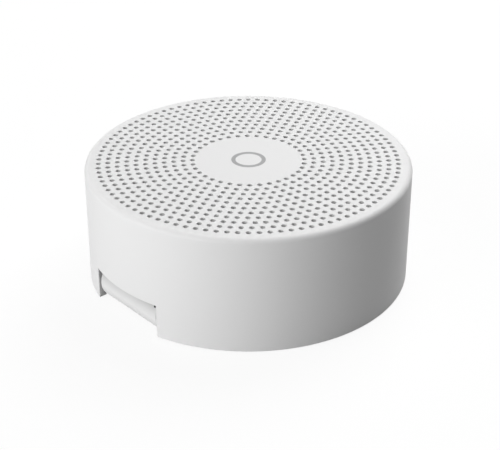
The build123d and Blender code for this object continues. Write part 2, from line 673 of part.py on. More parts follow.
# Setup button: the cap in the base, the flange that keeps it in and the stem to the plunger
with BuildPart() as setup_button:
    with BuildSketch(Plane.XY.offset(rim_z + BUTTON_RECESS)):
        with Locations((0, button_y)):
            Circle(BUTTON_DIAMETER / 2)
    extrude(amount=floor_z + BUTTON_SEAT_GAP - rim_z - BUTTON_RECESS)
    fillet(setup_button.faces().sort_by(Axis.Z)[0].edges(), radius=BUTTON_EDGE)
    with BuildSketch(Plane.XY.offset(floor_z + BUTTON_SEAT_GAP)):
        with Locations((0, button_y)):
            Circle(BUTTON_DIAMETER / 2 + BUTTON_FLANGE)
    extrude(amount=BUTTON_FLANGE_THICKNESS)
    with BuildSketch(Plane.XY.offset(floor_z + BUTTON_SEAT_GAP)):
        with Locations((0, button_y)):
            Circle(BUTTON_STEM / 2)
    extrude(amount=plunger_z - floor_z - BUTTON_SEAT_GAP)

# Dust mesh under the grille, inside and outside the snap ring
with BuildPart() as dust_mesh:
    with BuildSketch(Plane.XY.offset(mesh_z)):
        Circle(inner_r - MESH_GAP)
        Circle(rib_r + RIB + MESH_GAP, mode=Mode.SUBTRACT)
        Circle(speaker_r)
    extrude(amount=MESH_THICKNESS)

# Foam gasket between the dust mesh and the loudspeaker
with BuildPart() as speaker_gasket:
    with BuildSketch(Plane.XY.offset(gasket_z)):
        Circle(speaker_r)
        Circle(flange_in_r + GASKET_SET_BACK, mode=Mode.SUBTRACT)
    extrude(amount=GASKET_THICKNESS)

# Loudspeaker basket: the flange, the skirt and the sloped, windowed wall down to the magnet
with BuildPart() as speaker_basket:
    skirt_r = flange_in_r + BASKET_SHEET
    basket_hole_r = yoke_r + YOKE_FIT
    collar_r = basket_hole_r + BASKET_SHEET
    with BuildSketch(Plane.XZ):
        with BuildLine():
            Polyline(
                (speaker_r, frame_z),
                (flange_in_r, frame_z),
                (flange_in_r, skirt_z),
                (collar_r, collar_z),
                (basket_hole_r, collar_z),
                (basket_hole_r, collar_z - BASKET_COLLAR),
                (collar_r, collar_z - BASKET_COLLAR),
                (skirt_r, skirt_z - BASKET_SHEET),
                (skirt_r, flange_z),
                (speaker_r, flange_z),
                close=True,
            )
        make_face()
    revolve(axis=Axis.Z)
    window_in_r = collar_r + BASKET_WINDOW_MARGIN
    window_out_r = flange_in_r - BASKET_WINDOW_MARGIN
    with BuildSketch(Plane.XY.offset(skirt_z)):
        with PolarLocations((window_in_r + window_out_r) / 2, BASKET_WINDOWS):
            Rectangle(window_out_r - window_in_r, BASKET_WINDOW_WIDTH)
    extrude(amount=collar_z - BASKET_COLLAR - skirt_z, mode=Mode.SUBTRACT)

# Magnet yoke: the steel cup
with BuildPart() as magnet_yoke:
    with BuildSketch(Plane.XZ):
        with BuildLine():
            Polyline(
                (0, yoke_z),
                (yoke_r, yoke_z),
                (yoke_r, yoke_top_z),
                (yoke_in_r, yoke_top_z),
                (yoke_in_r, magnet_z),
                (0, magnet_z),
                close=True,
            )
        make_face()
    revolve(axis=Axis.Z)
    chamfer(magnet_yoke.faces().sort_by(Axis.Z)[0].edges(), length=YOKE_FLOOR / 3)

# Magnet
with BuildPart() as speaker_magnet:
    with BuildSketch(Plane.XY.offset(magnet_z)):
        Circle(pole_r - MAGNET_SET_IN)
    extrude(amount=pole_z - magnet_z)

# Pole plate on the magnet
with BuildPart() as pole_plate:
    with BuildSketch(Plane.XY.offset(pole_z)):
        Circle(pole_r)
    extrude(amount=POLE_THICKNESS)

# Voice coil, in the gap between the pole plate and the yoke
with BuildPart() as voice_coil:
    with BuildSketch(Plane.XY.offset(neck_z)):
        Circle(coil_out_r)
        Circle(coil_in_r, mode=Mode.SUBTRACT)
    extrude(amount=coil_z - neck_z)

# Loudspeaker cone
with BuildPart() as speaker_cone:
    with BuildSketch(Plane.XZ):
        with BuildLine():
            Polyline(
                (cone_r, frame_z),
                (cone_lip_r, frame_z),
                (neck_r, neck_z),
                (neck_r, neck_z - CONE_SHEET),
                (cone_lip_r, frame_z - CONE_SHEET),
                (cone_r, frame_z - CONE_SHEET),
                close=True,
            )
        make_face()
    revolve(axis=Axis.Z)

# Dust cap: a spherical dome on the cone
with BuildPart() as dust_cap:
    with BuildSketch(Plane.XZ):
        with Locations((0, cap_z + CAP_HEIGHT - cap_sphere_r)):
            Circle(cap_sphere_r)
            Circle(cap_sphere_r - CAP_SHEET, mode=Mode.SUBTRACT)
        with Locations((cap_r / 2, cap_z + CAP_HEIGHT / 2)):
            Rectangle(cap_r, CAP_HEIGHT, mode=Mode.INTERSECT)
    revolve(axis=Axis.Z)

# Cone surround: a half roll between the cone's lip and the basket's flange
with BuildPart() as cone_surround:
    with BuildSketch(Plane.XZ):
        with Locations((roll_mid_r, frame_z)):
            Circle(roll_r)
            Circle(roll_r - SURROUND_SHEET, mode=Mode.SUBTRACT)
        with Locations((roll_mid_r, frame_z - roll_r / 2)):
            Rectangle(2 * roll_r, roll_r, mode=Mode.SUBTRACT)
        inner_lip = roll_in_r + SURROUND_SHEET - cone_lip_r
        with Locations((cone_lip_r + inner_lip / 2, frame_z + SURROUND_SHEET / 2)):
            Rectangle(inner_lip, SURROUND_SHEET)
        outer_lip = speaker_r - roll_out_r + SURROUND_SHEET
        with Locations((speaker_r - outer_lip / 2, frame_z + SURROUND_SHEET / 2)):
            Rectangle(outer_lip, SURROUND_SHEET)
    revolve(axis=Axis.Z)

# Terminal strip under the flange, with two solder lugs
with BuildPart() as speaker_terminals:
    with BuildSketch(Plane.XY.offset(flange_z)):
        with Locations((0, terminal_y)):
            Rectangle(TERMINAL_WIDTH, TERMINAL_THICKNESS)
    extrude(amount=-TERMINAL_HEIGHT)
    with BuildSketch(Plane.XY.offset(flange_z - TERMINAL_HEIGHT)):
        with Locations((-LUG_OFFSET, terminal_y), (LUG_OFFSET, terminal_y)):
            Rectangle(LUG_WIDTH, TERMINAL_THICKNESS)
    extrude(amount=-LUG_LENGTH)

# Loudspeaker connector on the board
connector_x = -CONNECTOR_OFFSET
with BuildPart() as speaker_connector:
    with BuildSketch(Plane.XY.offset(board_top_z)):
        with Locations((connector_x, terminal_y)):
            Rectangle(CONNECTOR_LENGTH, CONNECTOR_WIDTH)
    extrude(amount=CONNECTOR_HEIGHT)

# Loudspeaker leads, down from the lugs and across into the connector's side
connector_face_x = connector_x + CONNECTOR_LENGTH / 2
with BuildPart() as speaker_leads:
    for lug_x, lead_level in ((-LUG_OFFSET, 1), (LUG_OFFSET, -1)):
        lead_z = board_top_z + CONNECTOR_HEIGHT / 2 + lead_level * LEAD_SPACING / 2
        with BuildLine() as lead_path:
            FilletPolyline(
                (lug_x, terminal_y, lug_z),
                (lug_x, terminal_y, lead_z),
                (connector_face_x, terminal_y, lead_z),
                radius=LEAD_BEND - LEAD_DIAMETER / 2,
            )
        with BuildSketch(Plane.XY.offset(lug_z)):
            with Locations((lug_x, terminal_y)):
                Circle(LEAD_DIAMETER / 2)
        sweep(path=lead_path.wire())

pieces = {
    "top_shell": top_shell,
    "base_cover": base_cover,
    "rubber_feet": rubber_feet,
    "case_screws": case_screws,
    "hinge_pin": hinge_pin,
    "hinge_washers": hinge_washers,
    "plug_barrel": plug_barrel,
    "barrel_pads": barrel_pads,
    "plug_shell": plug_shell,
    "plug_tongue": plug_tongue,
    "plug_contacts": plug_contacts,
    "contact_springs": contact_springs,
    "main_board": main_board,
    "board_screws": board_screws,
    "radio_shield": radio_shield,
    "board_chips": board_chips,
    "reservoir_capacitor": reservoir_capacitor,
    "tact_switch": tact_switch,
    "switch_plunger": switch_plunger,
    "setup_button": setup_button,
    "dust_mesh": dust_mesh,
    "speaker_gasket": speaker_gasket,
    "speaker_basket": speaker_basket,
    "magnet_yoke": magnet_yoke,
    "speaker_magnet": speaker_magnet,
    "pole_plate": pole_plate,
    "voice_coil": voice_coil,
    "speaker_cone": speaker_cone,
    "dust_cap": dust_cap,
    "cone_surround": cone_surround,
    "speaker_terminals": speaker_terminals,
    "speaker_connector": speaker_connector,
    "speaker_leads": speaker_leads,
}
for name, piece in pieces.items():
    piece.part.label = name
    export_step(piece.part, f"parts/{name}.step")
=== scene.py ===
# %% [markdown]
# # A round plug-in speaker
# The object is a low white puck with a grille of small round holes on top and a fold-out plug
# in a notch of its wall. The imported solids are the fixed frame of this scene: they say where every
# piece is and how it moves. This lesson only dresses them, with finer skins where a moulding needs
# soft edges and with a procedural finish on every surface.

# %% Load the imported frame
import json
import math
import bmesh
import bpy
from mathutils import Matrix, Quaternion, Vector
from mathutils.geometry import delaunay_2d_cdt


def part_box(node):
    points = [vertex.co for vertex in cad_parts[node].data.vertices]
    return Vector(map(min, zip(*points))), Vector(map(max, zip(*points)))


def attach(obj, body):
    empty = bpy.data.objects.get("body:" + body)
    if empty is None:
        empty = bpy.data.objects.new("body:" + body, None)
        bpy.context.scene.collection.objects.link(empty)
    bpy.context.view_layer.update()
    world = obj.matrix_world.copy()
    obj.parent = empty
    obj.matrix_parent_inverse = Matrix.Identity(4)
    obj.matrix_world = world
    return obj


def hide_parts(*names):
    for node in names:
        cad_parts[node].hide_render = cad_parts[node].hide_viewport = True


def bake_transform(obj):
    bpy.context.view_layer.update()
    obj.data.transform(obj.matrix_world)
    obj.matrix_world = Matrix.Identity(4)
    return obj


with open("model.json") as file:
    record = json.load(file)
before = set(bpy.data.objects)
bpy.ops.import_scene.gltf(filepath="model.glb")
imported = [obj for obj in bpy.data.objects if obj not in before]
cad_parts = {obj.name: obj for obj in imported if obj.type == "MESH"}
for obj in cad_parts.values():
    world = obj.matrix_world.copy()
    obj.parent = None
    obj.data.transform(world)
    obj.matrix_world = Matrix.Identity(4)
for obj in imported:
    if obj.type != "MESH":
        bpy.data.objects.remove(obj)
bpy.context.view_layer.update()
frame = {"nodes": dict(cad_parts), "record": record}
scene = bpy.context.scene
scene.view_settings.view_transform = "Standard"
MM = 0.001

# %% [markdown]
# ## The camera
# A product photo is taken with a long lens from a little above. The camera could be placed by eye,
# but here its angles were measured on the rings of the grille, so the lens, the distance and the aim
# are plain numbers. The aim is given as a small step sideways and down from the top's centre, because
# that centre is the one point of the object that is easy to find in any view.

# %% Camera
VIEW_AZIMUTH = math.radians(48.63)
VIEW_ELEVATION = math.radians(28.98)
VIEW_ROLL = math.radians(0.09)
VIEW_DISTANCE = 282.25 * MM
AIM_RIGHT = 0.335 * MM
AIM_DOWN = 14.03 * MM
LENS = 94.9
SENSOR = 36.0
CLIP_START = 10 * MM


def direction(azimuth, elevation):
    """The unit vector from the object towards a viewer at these angles; azimuth 0 stands at -Y."""
    level = math.cos(elevation)
    return Vector((math.sin(azimuth) * level, -math.cos(azimuth) * level, math.sin(elevation)))


def aimed(obj, position, towards, roll=0.0):
    """Puts a camera or a lamp at a position and turns it to look along a direction."""
    scene.collection.objects.link(obj)
    obj.location = position
    obj.rotation_mode = "QUATERNION"
    obj.rotation_quaternion = towards.to_track_quat("-Z", "Y") @ Quaternion((0, 0, 1), roll)
    return obj


shell_low, shell_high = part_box("top_shell")
view_back = direction(VIEW_AZIMUTH, VIEW_ELEVATION)
view_right = Vector((math.cos(VIEW_AZIMUTH), math.sin(VIEW_AZIMUTH), 0))
view_up = view_back.cross(view_right)
aim = Vector((0, 0, shell_high.z)) + AIM_RIGHT * view_right - AIM_DOWN * view_up
lens = bpy.data.cameras.new("view")
lens.lens = LENS
lens.sensor_width = SENSOR
lens.clip_start = CLIP_START
eye = aim + VIEW_DISTANCE * view_back
scene.camera = aimed(bpy.data.objects.new("view", lens), eye, -view_back, VIEW_ROLL)
print("camera at", [round(x / MM, 1) for x in scene.camera.location], "mm")

# %% [markdown]
# ## Helpers for node trees
# Every finish below is a node tree. Writing nodes.new and links.new over and over hides the idea of a
# finish, so short helpers add a node with its values, join two sockets, calculate, ramp a value up between
# two places and mix two colours. One more starts a shader node group with named inputs and outputs. The
# last one tells what is seen from light that only bounces.

# %% Node helpers
# A Mix node has sockets for every kind of data; these are its factor, its two colours and its result.
MIX_INPUTS = (0, 6, 7)
MIX_RESULT = 2


def node(tree, kind, **values):
    """Adds a node. A value named like an input sets that input, any other sets a property."""
    made = tree.nodes.new(kind)
    for name, value in values.items():
        socket = made.inputs.get(name.replace("_", " ").title())
        if socket is None:
            setattr(made, name, value)
        else:
            socket.default_value = value
    return made


def join(tree, source, target):
    """Links an output socket to an input socket, or sets that input to a plain value."""
    if isinstance(source, bpy.types.NodeSocket):
        tree.links.new(source, target)
    else:
        target.default_value = source


def arithmetic(tree, operation, *sides):
    """A Math node whose sides are numbers or sockets; returns its output."""
    made = node(tree, "ShaderNodeMath", operation=operation)
    for value, side in zip(sides, made.inputs):
        join(tree, value, side)
    return made.outputs[0]


def ramp(tree, value, start, full, most=1.0):
    """Goes from 0 where the value is at start to the most where it is at full."""
    made = node(tree, "ShaderNodeMapRange", to_max=most)
    for source, name in ((value, "Value"), (start, "From Min"), (full, "From Max")):
        join(tree, source, made.inputs[name])
    return made.outputs["Result"]


def mixed(tree, blend, factor, first, second):
    """Mixes two colours by a factor, each a socket or a plain value; returns the result."""
    made = node(tree, "ShaderNodeMix", data_type="RGBA", blend_type=blend)
    for source, place in zip((factor, first, second), MIX_INPUTS):
        join(tree, source, made.inputs[place])
    return made.outputs[MIX_RESULT]


print("a Mix node takes colours at its inputs", MIX_INPUTS[1:])

# %% Node groups and seen rays


def effect(name, inputs, outputs):
    """Starts a shader node group and returns it with its input and output nodes."""
    group = bpy.data.node_groups.new(name, "ShaderNodeTree")
    for label, kind, value in inputs:
        socket = group.interface.new_socket(label, in_out="INPUT", socket_type="NodeSocket" + kind)
        socket.default_value = value
    for label, kind in outputs:
        group.interface.new_socket(label, in_out="OUTPUT", socket_type="NodeSocket" + kind)
    return group, group.nodes.new("NodeGroupInput"), group.nodes.new("NodeGroupOutput")


def seen_rays(tree):
    """1 for what the camera sees directly, mirrored or through glass, and 0 for light that bounces."""
    path = node(tree, "ShaderNodeLightPath").outputs
    mirrored = arithmetic(tree, "MAXIMUM", path["Is Glossy Ray"], path["Is Transmission Ray"])
    return arithmetic(tree, "MAXIMUM", path["Is Camera Ray"], mirrored)


print("node helpers ready")

# %% [markdown]
# ## Floor, background and light
# The photo is a cut-out on white. Two lights from the left fill the wall, the wide low one most of all.
# Two lights from behind fill the top, so the sides of the holes that face the camera stay dark, and a weak
# one stands above the camera. A white floor that was lit until it is white would throw much light back onto
# the wall, so the floor here is mid grey to the light and gets its white only for rays that are seen. What
# is left of its diffuse shading still takes the object's soft shadow. Right under the object no light
# arrives, so the white ends there too; otherwise it would shine through the gap beside the plug's barrel.

# %% Floor and background
WHITE = (1, 1, 1, 1)
FLOOR_SIZE = 6.0
FLOOR_GREY = 0.4
FLOOR_GREY_SEEN = 0.12
FLOOR_GLOW = 0.89
GLOW_GONE = 28.0 * MM
GLOW_FULL = 29.5 * MM
AMBIENT = 0.01

floor_mesh = bpy.data.meshes.new("floor")
half = FLOOR_SIZE / 2
corners = [(-half, -half, 0), (half, -half, 0), (half, half, 0), (-half, half, 0)]
floor_mesh.from_pydata(corners, [], [(0, 1, 2, 3)])
floor = bpy.data.objects.new("floor", floor_mesh)
scene.collection.objects.link(floor)
paper = bpy.data.materials.new("floor_paper")
paper.use_nodes = True
tree = paper.node_tree
tree.nodes.clear()
matte = node(tree, "ShaderNodeBsdfDiffuse")
glow = node(tree, "ShaderNodeEmission", color=WHITE)
seen = seen_rays(tree)
grey = arithmetic(tree, "MULTIPLY_ADD", seen, FLOOR_GREY_SEEN - FLOOR_GREY, FLOOR_GREY)
join(tree, grey, matte.inputs["Color"])
from_middle = node(tree, "ShaderNodeVectorMath", operation="LENGTH")
join(tree, node(tree, "ShaderNodeTexCoord").outputs["Object"], from_middle.inputs[0])
open_floor = ramp(tree, from_middle.outputs["Value"], GLOW_GONE, GLOW_FULL, FLOOR_GLOW)
join(tree, arithmetic(tree, "MULTIPLY", seen, open_floor), glow.inputs["Strength"])
both = node(tree, "ShaderNodeAddShader")
join(tree, matte.outputs[0], both.inputs[0])
join(tree, glow.outputs[0], both.inputs[1])
join(tree, both.outputs[0], node(tree, "ShaderNodeOutputMaterial").inputs["Surface"])
floor_mesh.materials.append(paper)

world = bpy.data.worlds.new("studio")
world.use_nodes = True
scene.world = world
tree = world.node_tree
tree.nodes.clear()
sky = node(tree, "ShaderNodeBackground", color=WHITE)
strength = arithmetic(tree, "MULTIPLY_ADD", seen_rays(tree), 1 - AMBIENT, AMBIENT)
join(tree, strength, sky.inputs["Strength"])
join(tree, sky.outputs[0], node(tree, "ShaderNodeOutputWorld").inputs["Surface"])
print("floor", FLOOR_SIZE, "m wide, ambient light", AMBIENT)

# %% Lamps
LAMP_DISTANCE = 0.8
LAMP_HEIGHT = 0.5


def softbox(name, turn, elevation, width, watts):
    """An area lamp. Its turn is in degrees from the camera, to the left where negative."""
    lamp = bpy.data.lights.new(name, "AREA")
    lamp.shape = "RECTANGLE"
    lamp.size = width
    lamp.size_y = LAMP_HEIGHT
    lamp.energy = watts
    towards = direction(VIEW_AZIMUTH + math.radians(turn), math.radians(elevation))
    aimed(bpy.data.objects.new(name, lamp), LAMP_DISTANCE * towards, -towards)
    print("lamp", name, watts, "W")


softbox("left_low", turn=-51, elevation=12, width=0.8, watts=5.6)
softbox("left_high", turn=-60, elevation=30, width=0.6, watts=0.85)
softbox("front_weak", turn=0, elevation=55, width=0.5, watts=0.85)
softbox("back_right", turn=146, elevation=34, width=0.6, watts=2.5)
softbox("back_high", turn=150, elevation=55, width=0.6, watts=3.4)

# %% [markdown]
# ## Shared effects
# Three effects return on many surfaces, so each is built once as a node group. Moulded grain gives
# plastic and rubber a faint mottling and a fine spark-eroded texture. Drawn grain gives metal its long
# fine lines. Rubbed edges finds the corners that hands and cloths polish. The groups only put out what
# changes over a surface; each material keeps its own shader and its own plain values.

# %% Moulded grain group
NOISE_MIDDLE = 0.5
MOTTLE_TINT = (0.8, 0.8, 0.8, 1)


def varied(tree, base, noise, spread):
    """A value that swings about its base with a noise."""
    swing = arithmetic(tree, "SUBTRACT", noise, NOISE_MIDDLE)
    return arithmetic(tree, "MULTIPLY_ADD", swing, spread, base)


def moulded_grain():
    """Tone, roughness and height of a moulded surface."""
    group, enter, leave = effect(
        "moulded_grain",
        [
            ("Tone", "Color", (0.8, 0.8, 0.8, 1)),
            ("Mottle", "Float", 0.1),
            ("Gloss Spread", "Float", 0.15),
            ("Base Roughness", "Float", 0.5),
            ("Grain Density", "Float", 4000.0),
        ],
        [("Color", "Color"), ("Roughness", "Float"), ("Height", "Float")],
    )
    place = node(group, "ShaderNodeTexCoord")
    broad = node(group, "ShaderNodeTexNoise", scale=70.0, detail=4.0, roughness=0.55)
    fine = node(group, "ShaderNodeTexNoise", detail=2.0, roughness=0.6)
    join(group, place.outputs["Object"], broad.inputs["Vector"])
    join(group, place.outputs["Object"], fine.inputs["Vector"])
    join(group, enter.outputs["Grain Density"], fine.inputs["Scale"])
    mottle = arithmetic(group, "MULTIPLY", broad.outputs["Fac"], enter.outputs["Mottle"])
    tone = mixed(group, "MULTIPLY", mottle, enter.outputs["Tone"], MOTTLE_TINT)
    gloss_spread = enter.outputs["Gloss Spread"]
    roughness = varied(group, enter.outputs["Base Roughness"], fine.outputs["Fac"], gloss_spread)
    join(group, tone, leave.inputs["Color"])
    join(group, roughness, leave.inputs["Roughness"])
    join(group, fine.outputs["Fac"], leave.inputs["Height"])
    return group


MOULDED = moulded_grain()
print("group", MOULDED.name)

# %% Drawn grain group
CLOUD_TINT = (0.72, 0.71, 0.7, 1)
CLOUD_SHARE = 0.35
LINE_SPREAD = 0.3
LINE_STRETCH = (1.0, 0.03, 1.0)


def drawn_grain():
    """Tone, roughness and height of drawn or rolled metal, with lines along the object's Y."""
    group, enter, leave = effect(
        "drawn_grain",
        [
            ("Tone", "Color", (0.7, 0.7, 0.7, 1)),
            ("Base Roughness", "Float", 0.3),
            ("Line Density", "Float", 6000.0),
        ],
        [("Color", "Color"), ("Roughness", "Float"), ("Height", "Float")],
    )
    place = node(group, "ShaderNodeTexCoord")
    stretch = node(group, "ShaderNodeMapping", scale=LINE_STRETCH)
    lines = node(group, "ShaderNodeTexNoise", detail=3.0, roughness=0.65)
    cloud = node(group, "ShaderNodeTexNoise", scale=220.0, detail=3.0)
    join(group, place.outputs["Object"], stretch.inputs["Vector"])
    join(group, stretch.outputs["Vector"], lines.inputs["Vector"])
    join(group, place.outputs["Object"], cloud.inputs["Vector"])
    join(group, enter.outputs["Line Density"], lines.inputs["Scale"])
    cloudy = arithmetic(group, "MULTIPLY", cloud.outputs["Fac"], CLOUD_SHARE)
    tone = mixed(group, "MULTIPLY", cloudy, enter.outputs["Tone"], CLOUD_TINT)
    roughness = varied(group, enter.outputs["Base Roughness"], lines.outputs["Fac"], LINE_SPREAD)
    join(group, tone, leave.inputs["Color"])
    join(group, roughness, leave.inputs["Roughness"])
    join(group, lines.outputs["Fac"], leave.inputs["Height"])
    return group


DRAWN = drawn_grain()
print("group", DRAWN.name)

# %% Rubbed edges group
FLAT_POINTINESS = 0.5


def rubbed_edges():
    """A mask of the outward corners, broken up by noise."""
    group, enter, leave = effect("rubbed_edges", [("Reach", "Float", 0.06)], [("Mask", "Float")])
    shape = node(group, "ShaderNodeNewGeometry")
    place = node(group, "ShaderNodeTexCoord")
    patches = node(group, "ShaderNodeTexNoise", scale=900.0, detail=3.0)
    join(group, place.outputs["Object"], patches.inputs["Vector"])
    fully_rubbed = arithmetic(group, "ADD", enter.outputs["Reach"], FLAT_POINTINESS)
    corner = ramp(group, shape.outputs["Pointiness"], FLAT_POINTINESS, fully_rubbed)
    mask = arithmetic(group, "MULTIPLY", corner, patches.outputs["Fac"])
    join(group, mask, leave.inputs["Mask"])
    return group


RUBBED = rubbed_edges()
print("group", RUBBED.name)

# %% [markdown]
# ## Finishes
# One function makes all moulded finishes and one makes all metals, because such materials differ only
# in tone, gloss and grain. A short third one keeps the white the same wherever it is used. The tones are
# read from the record, so the scene and the library agree; only the white loses its last trace of warmth,
# because the photo's white is neutral. A corner that is rubbed gets smoother.

# %% Finish functions
TONES = {row["slot"]: row["base_color"] for row in frame["record"]["materials"]}
TONES["white_plastic"] = 3 * (max(TONES["white_plastic"]),)
FINISHES = {}


def started(slot):
    """A new material with a Principled shader; returns its tree and the shader."""
    material = bpy.data.materials.new(slot + "_finish")
    material.use_nodes = True
    FINISHES[slot] = material
    return material.node_tree, material.node_tree.nodes["Principled BSDF"]


def grouped(tree, group, **values):
    """Places a node group and sets its inputs."""
    return node(tree, "ShaderNodeGroup", node_tree=group, **values)


def polished(tree, shader, surface, reach, share):
    """Lowers the roughness of a surface group on its rubbed edges."""
    edges = grouped(tree, RUBBED, reach=reach)
    kept = arithmetic(tree, "MULTIPLY_ADD", edges.outputs["Mask"], -share, 1.0)
    roughness = arithmetic(tree, "MULTIPLY", surface.outputs["Roughness"], kept)
    join(tree, roughness, shader.inputs["Roughness"])


def embossed(tree, shader, height, depth, strength):
    """Turns a height into a bump of that depth in metres."""
    bump = node(tree, "ShaderNodeBump", strength=strength, distance=depth)
    join(tree, height, bump.inputs["Height"])
    join(tree, bump.outputs["Normal"], shader.inputs["Normal"])


def moulding(slot, roughness, mottle=0.1, grain=4000.0, depth=0.02 * MM, specular=0.4):
    """A moulded plastic, a rubber or a paint."""
    tree, shader = started(slot)
    tone = (*TONES[slot], 1)
    surface = grouped(
        tree, MOULDED, tone=tone, mottle=mottle, grain_density=grain, base_roughness=roughness
    )
    join(tree, surface.outputs["Color"], shader.inputs["Base Color"])
    shader.inputs["Specular IOR Level"].default_value = specular
    polished(tree, shader, surface, reach=0.08, share=0.3)
    embossed(tree, shader, surface.outputs["Height"], depth, strength=0.25)
    return tree, shader, surface


def white_moulding(slot):
    """The housing's white plastic, also for a surface that gets darker places of its own."""
    TONES[slot] = TONES["white_plastic"]
    return moulding(slot, roughness=0.6, mottle=0.06, specular=0.3)


def metal(slot, roughness, lines=6000.0):
    """A bare or plated metal."""
    tree, shader = started(slot)
    tone = (*TONES[slot], 1)
    surface = grouped(tree, DRAWN, tone=tone, base_roughness=roughness, line_density=lines)
    join(tree, surface.outputs["Color"], shader.inputs["Base Color"])
    shader.inputs["Metallic"].default_value = 1.0
    polished(tree, shader, surface, reach=0.1, share=0.4)
    embossed(tree, shader, surface.outputs["Height"], depth=0.004 * MM, strength=0.2)


print("tones for", len(TONES), "slots")

# %% Moulded and metal finishes
white_moulding("white_plastic")
moulding("button_plastic", 0.45, mottle=0.08)
moulding("foot_rubber", 0.75, mottle=0.25, grain=2500.0, depth=0.05 * MM, specular=0.25)
moulding("plug_insulator", 0.4)
moulding("board_laminate", 0.3, mottle=0.3, grain=1500.0)
moulding("chip_epoxy", 0.55, mottle=0.2)
moulding("gasket_foam", 0.9, mottle=0.4, grain=1800.0, depth=0.1 * MM, specular=0.1)
moulding("basket_steel", 0.4, mottle=0.2)
moulding("cone_film", 0.45, mottle=0.25, grain=1200.0)
moulding("surround_rubber", 0.65, mottle=0.2, specular=0.25)
moulding("terminal_laminate", 0.5, mottle=0.4, grain=900.0)
moulding("connector_plastic", 0.45)
moulding("lead_insulation", 0.45, specular=0.3)
for slot, roughness in (
    ("screw_steel", 0.35),
    ("plug_steel", 0.24),
    ("contact_gold", 0.22),
    ("shield_tin", 0.32),
    ("capacitor_can", 0.3),
    ("motor_steel", 0.38),
    ("magnet_nickel", 0.2),
    ("coil_copper", 0.3),
):
    metal(slot, roughness)
print(len(FINISHES), "finishes so far")

# %% [markdown]
# The dust mesh behind the grille is a fine woven cloth. It shows only as the floor of each small hole,
# so two crossed wave textures are enough for its threads: the higher of the two at each place gives the
# height, and the tone follows it, with painted shade between the threads and a painted highlight on their
# crowns.

# %% Woven cloth
THREAD_DENSITY = 3300.0
# Painted shade between the threads and a painted highlight on their crowns, as shares of the cloth's tone.
THREAD_GAP_SHADE = 0.45
THREAD_CROWN_HIGHLIGHT = 1.25
CLOTH_ROUGHNESS = 0.85


def woven(slot):
    """A plain weave with threads along X and Y."""
    tree, shader = started(slot)
    place = node(tree, "ShaderNodeTexCoord")
    heights = []
    for axis in ("X", "Y"):
        threads = node(tree, "ShaderNodeTexWave", bands_direction=axis, distortion=0.3)
        threads.inputs["Scale"].default_value = THREAD_DENSITY / math.tau
        join(tree, place.outputs["Object"], threads.inputs["Vector"])
        heights.append(threads.outputs["Fac"])
    height = arithmetic(tree, "MAXIMUM", *heights)
    # The tone follows the height: painted shade in the gaps, a painted highlight on the crowns.
    dark, light = ((*(share * c for c in TONES[slot]), 1) for share in (THREAD_GAP_SHADE, THREAD_CROWN_HIGHLIGHT))
    join(tree, mixed(tree, "MIX", height, dark, light), shader.inputs["Base Color"])
    shader.inputs["Roughness"].default_value = CLOTH_ROUGHNESS
    embossed(tree, shader, height, depth=0.05 * MM, strength=0.5)


woven("mesh_cloth")
for row in frame["record"]["subparts"]:
    frame["nodes"][row["node"]].material_slots[0].material = FINISHES[row["material_slot"]]

# %% [markdown]
# The plug's barrel is the same white plastic. When the plug is folded away, the upper front of the barrel
# lies close under the edge of the notch, where little light comes in. The finish paints that shade into its
# tone: a painted shade band. The place is found by the angle round the hinge axis, so the band turns with
# the barrel and is hidden again when the plug is folded out. Near the right end the photo shows one small
# dark dot, read as the dimple that the hinge's detent snaps into. The dimple is not modelled: its shade is
# painted as a dark tone within less than a millimetre of its centre.

# %% Barrel finish
# Painted shade on the barrel's upper front, under the notch's edge, between these angles.
PAINTED_SHADE_TONE = 0.63
BAND_START = math.radians(-4)
BAND_FULL = math.radians(34)
BAND_FADE = math.radians(60)
BAND_END = math.radians(85)
# A dark dot of painted shade where the detent's dimple would lie; the dimple itself is not modelled.
PAINTED_DIMPLE_SHADE = 0.05
DIMPLE_RADIUS = 0.43 * MM
DIMPLE_EDGE = 0.05 * MM
DIMPLE_TURN = math.radians(34.5)
DIMPLE_INSET = 0.47 * MM
SLEEVE_LIFT = 0.27 * MM

hinge = next(row for row in frame["record"]["behaviour"]["joints"] if row["name"] == "plug_fold")
_, axis_y, axis_z = hinge["pos_m"]
barrel_low, barrel_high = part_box("plug_barrel")
barrel_radius = axis_y - barrel_low.y
sleeve_radius = barrel_radius + SLEEVE_LIFT


def darkened(tree, shader, surface, places):
    """Lowers a surface group's tone to a share of itself where each mask is set."""
    tone = surface.outputs["Color"]
    for mask, share in places:
        tone = mixed(tree, "MULTIPLY", mask, tone, (share, share, share, 1))
    join(tree, tone, shader.inputs["Base Color"])


tree, shader, surface = white_moulding("barrel_plastic")
place = node(tree, "ShaderNodeTexCoord").outputs["Object"]
spot = node(tree, "ShaderNodeSeparateXYZ")
join(tree, place, spot.inputs[0])
above = arithmetic(tree, "SUBTRACT", spot.outputs["Z"], axis_z)
ahead = arithmetic(tree, "SUBTRACT", axis_y, spot.outputs["Y"])
angle = arithmetic(tree, "ARCTAN2", above, ahead)
band_start = ramp(tree, angle, BAND_START, BAND_FULL)
band_end = ramp(tree, angle, BAND_END, BAND_FADE)
painted_shade_band = arithmetic(tree, "MULTIPLY", band_start, band_end)
from_dimple = node(tree, "ShaderNodeVectorMath", operation="DISTANCE")
join(tree, place, from_dimple.inputs[0])
from_dimple.inputs[1].default_value = (
    barrel_high.x - DIMPLE_INSET,
    axis_y - sleeve_radius * math.cos(DIMPLE_TURN),
    axis_z + sleeve_radius * math.sin(DIMPLE_TURN),
)
painted_dimple_shade = ramp(tree, from_dimple.outputs["Value"], DIMPLE_RADIUS, DIMPLE_RADIUS - DIMPLE_EDGE)
